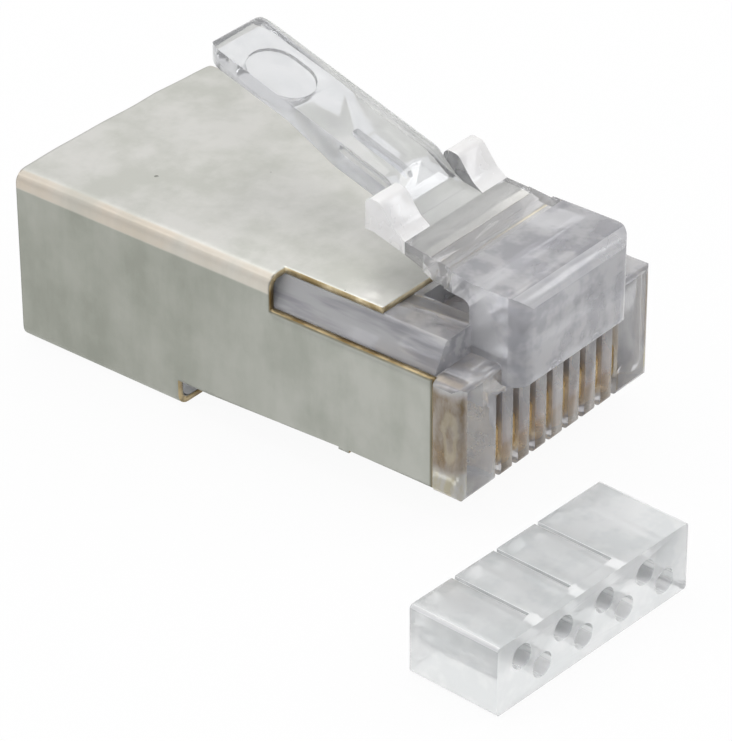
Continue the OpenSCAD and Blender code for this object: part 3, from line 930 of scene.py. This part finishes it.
# a place in the sheet's middle that the real blank hasn't: below the walls, in the relief of the
# underside, ahead of the top wall or in a corner window
def outsideShell(spot, put):
    lift = min(put["sideLift"], max(0.0, liftSlope(put) * (put["liftEndY"] - spot.y)))
    edge = put["frontZ"] + lift
    if put["stubY"] < spot.y < put["stubY"] + put["stubLength"]:
        edge = put["frontZ"] + put["sideLift"] - put["stubDrop"]
    if spot.y < put["stepY"] and spot.z < edge:
        return True
    alongRelief = put["reliefY"][0] < spot.y < put["reliefY"][1]
    if spot.z < put["bottomZ"] and abs(spot.x) < put["reliefHalf"] and alongRelief:
        return True
    if spot.z < put["sillZ"] or spot.y > put["windowEndY"]:
        return False
    if spot.y < put["topFrontY"] and abs(spot.x) < put["windowX"]:
        return True
    ahead = spot.y - put["windowEndY"] + put["windowRound"]
    down = put["sillZ"] + put["windowRound"] - spot.z
    corner = ahead > 0 and down > 0 and math.hypot(ahead, down) > put["windowRound"] * put["cornerShare"]
    return abs(spot.x) > put["windowX"] and not corner


def makeShell(put):
    shape = bmesh.new()
    bmesh.ops.create_cube(shape, size=1.0)
    bmesh.ops.scale(shape, vec=(2 * put["halfWidth"], put["rearY"] - put["sideFrontY"], put["height"]),
                    verts=shape.verts)
    bmesh.ops.translate(shape, vec=(0, (put["rearY"] + put["sideFrontY"]) / 2, put["height"] / 2),
                        verts=shape.verts)
    ends = [face for face in shape.faces if abs(face.normal.y) > 0.9]
    bmesh.ops.delete(shape, geom=ends, context="FACES_ONLY")
    folds = [edge for edge in shape.edges if abs((edge.verts[0].co - edge.verts[1].co).y) > mm]
    bmesh.ops.bevel(shape, geom=folds, offset=put["fold"], offset_type="OFFSET", segments=put["foldSteps"],
                    profile=0.5, affect="EDGES", material=-1)
    stubEnd = put["stubY"] + put["stubLength"]
    for place in (put["topFrontY"], put["windowEndY"], put["stepY"], put["stubY"], stubEnd) + put["reliefY"]:
        cutAcross(shape, 1, place)
    lifted = put["frontZ"] + put["sideLift"]
    for place in (put["frontZ"], lifted, lifted - put["stubDrop"], put["sillZ"]):
        cutAcross(shape, 2, place)
    for place in (put["windowX"], put["reliefHalf"]):
        cutAcross(shape, 0, -place)
        cutAcross(shape, 0, place)
    cutLeaning(shape, put["liftEndY"], put["frontZ"], (liftSlope(put), 1.0))
    arcY, arcZ = put["windowEndY"] - put["windowRound"], put["sillZ"] + put["windowRound"]
    for step in range(put["roundSteps"]):
        turn = (step + 0.5) * math.pi / 2 / put["roundSteps"]
        away = put["windowRound"] * math.cos(math.pi / 4 / put["roundSteps"])
        ahead, down = math.cos(turn), -math.sin(turn)
        near = [face for face in shape.faces if aroundCorner(face, arcY, arcZ, put["windowRound"])]
        cutLeaning(shape, arcY + away * ahead, arcZ + away * down, (ahead, down), near)
    gone = [face for face in shape.faces if outsideShell(face.calc_center_median(), put)]
    bmesh.ops.delete(shape, geom=gone, context="FACES")
    count = int(2 * put["halfWidth"] / put["fine"])
    for step in range(1, count):
        cutAcross(shape, 0, -put["halfWidth"] + step * 2 * put["halfWidth"] / count)
    place = put["sideFrontY"]
    while place < put["rearY"] - put["coarse"]:
        place += put["fine"] if place < put["fineEndY"] else put["coarse"]
        cutAcross(shape, 1, place)
    count = int(put["height"] / put["coarse"])
    for step in range(1, count):
        cutAcross(shape, 2, step * put["height"] / count)
    return shape


def lineSide(x, y, first, second):
    dx, dy = second[0] - first[0], second[1] - first[1]
    return ((x - first[0]) * dy - (y - first[1]) * dx) / math.hypot(dx, dy)


# the crease, the dimples and the wave of the top wall
def dressShell(shape, put):
    crease, depth = put["crease"], put["topShare"] * put["fold"]
    even, swing, size = put["waveHeights"]
    for vert in shape.verts:
        x, y, z = vert.co
        if z < put["height"] - depth:
            continue
        share = (z - put["height"] + depth) / depth
        far = min(lineSide(x, y, crease[k], crease[k + 1]) * -1 for k in (0, 1))
        vert.co.z -= share * min(put["creaseDeepest"], put["creaseDrop"] * max(0.0, far))
        for spot in put["dimples"]:
            reach = math.hypot(x - spot[0], y - spot[1]) / put["dimpleSize"]
            if reach < 1:
                vert.co.z += put["dimpleRise"] * (1 - reach * reach) ** 2
        rear = max(0.0, 1 - (put["rearY"] - y) / put["waveReach"])
        first, second = (x / mm * turns for turns in put["waveTurns"])
        wave = math.sin(first + put["waveShift"]) + 0.5 * math.sin(second)
        vert.co.z -= share * put["wave"] * rear * rear * (even + swing * wave) * size


shellShape = makeShell(shellSet)
dressShell(shellShape, shellSet)
shellPiece = addPiece("folded_shell", shellShape, [platedSheet, cutEdge], "plug", "shield")
thicken = shellPiece.modifiers.new("thicken", "SOLIDIFY")
thicken.thickness = shellSet["thickness"]
thicken.offset = -1.0
thicken.use_even_offset = True
thicken.material_offset_rim = 1
shadeByAngle(shellPiece, shellSet["smoothDegrees"])
print("folded shell made")


# the floor glows white to the camera and in what the clear pieces show, and keeps the shadow
floorSet = {
    "size": 3.0,
    "color": (0.9, 0.9, 0.9, 1.0),
    "shade": (0.89, 0.89, 0.89, 1.0),
    "cloud": {"Scale": 40.0, "Low": 0.3, "High": 0.7},
    "roughness": 0.9,
    "glow": 0.94,
}


def makeFloor(put):
    material, tree, shader, output = newMaterial("paleFloor")
    setInputs(shader, {"Roughness": put["roughness"], "Specular IOR Level": 0.0})
    cloud = useGroup(tree, smearGroup, objectCoords(tree), put["cloud"])
    feed(tree, shader.inputs["Base Color"], mixColor(tree, cloud, put["shade"], put["color"]))
    glow = addNode(tree, "ShaderNodeEmission")
    setInputs(glow, {"Color": (1, 1, 1, 1), "Strength": 1.0})
    path = addNode(tree, "ShaderNodeLightPath")
    seen = calc(tree, "ADD", path.outputs["Is Camera Ray"], path.outputs["Is Glossy Ray"], clamp=True)
    seen = calc(tree, "ADD", seen, path.outputs["Is Transmission Ray"], clamp=True)
    mix = addNode(tree, "ShaderNodeMixShader")
    tree.links.new(calc(tree, "MULTIPLY", seen, put["glow"]), mix.inputs["Fac"])
    tree.links.new(shader.outputs["BSDF"], mix.inputs[1])
    tree.links.new(glow.outputs["Emission"], mix.inputs[2])
    tree.links.new(mix.outputs["Shader"], output.inputs["Surface"])
    shape = bmesh.new()
    bmesh.ops.create_grid(shape, x_segments=1, y_segments=1, size=put["size"] / 2)
    addObject("floor", shape, [material])


makeFloor(floorSet)

lampTarget = Vector((0, 0.01, 0.004))
lampSet = (
    {"name": "topLamp", "place": (0.05, 0.10, 0.45), "size": 0.35,
     "power": 0.6, "color": (1.0, 0.985, 0.96)},
    {"name": "leftLamp", "place": (-0.40, -0.05, 0.22), "size": 0.25,
     "power": 0.1, "color": (0.93, 0.97, 1.0)},
    {"name": "rightLamp", "place": (0.34, -0.27, 0.28), "size": 0.18,
     "power": 0.35, "color": (0.97, 0.98, 1.0)},
    {"name": "backLamp", "place": (-0.26, 0.28, 0.33), "size": 0.13,
     "power": 0.2, "color": (1.0, 0.98, 0.95)},
)


def addLamp(put):
    data = bpy.data.lights.new(put["name"], "AREA")
    data.shape = "SQUARE"
    data.size = put["size"]
    data.energy = put["power"]
    data.color = put["color"]
    lamp = bpy.data.objects.new(put["name"], data)
    place = Vector(put["place"])
    turn = (place - lampTarget).to_track_quat("Z", "Y").to_matrix().to_4x4()
    lamp.matrix_world = Matrix.Translation(place) @ turn
    bpy.context.collection.objects.link(lamp)


for lampPut in lampSet:
    addLamp(lampPut)

# the room lights the object and shows in its metal; the camera sees white
roomSet = {
    "high": (0.98, 0.98, 1.0, 1.0),
    "low": (0.82, 0.82, 0.82, 1.0),
    "heights": (0.1, 0.9),
    "dark": (0.42, 0.42, 0.46, 1.0),
    "darkSide": -0.7,
    "darkEdges": (0.1, 0.8),
    "strength": 0.85,
}


def makeRoom(put):
    world = bpy.data.worlds.new("room")
    bpy.context.scene.world = world
    world.use_nodes = True
    tree = world.node_tree
    tree.nodes.clear()
    output = tree.nodes.new("ShaderNodeOutputWorld")
    coords = addNode(tree, "ShaderNodeTexCoord").outputs["Generated"]
    x, y, z = splitCoords(tree, coords)
    color = mixColor(tree, rises(tree, z, *put["heights"]), put["low"], put["high"])
    side = calc(tree, "ADD", calc(tree, "MULTIPLY", x, put["darkSide"]),
                calc(tree, "MULTIPLY", y, put["darkSide"]))
    color = mixColor(tree, rises(tree, side, *put["darkEdges"]), color, put["dark"])
    room = addNode(tree, "ShaderNodeBackground")
    tree.links.new(color, room.inputs["Color"])
    setInputs(room, {"Strength": put["strength"]})
    white = addNode(tree, "ShaderNodeBackground")
    setInputs(white, {"Color": (1, 1, 1, 1), "Strength": 1.0})
    path = addNode(tree, "ShaderNodeLightPath")
    mix = addNode(tree, "ShaderNodeMixShader")
    tree.links.new(path.outputs["Is Camera Ray"], mix.inputs["Fac"])
    tree.links.new(room.outputs["Background"], mix.inputs[1])
    tree.links.new(white.outputs["Background"], mix.inputs[2])
    tree.links.new(mix.outputs["Shader"], output.inputs["Surface"])


makeRoom(roomSet)
bpy.context.scene.view_settings.view_transform = "Standard"
print("floor, lamps and room made")
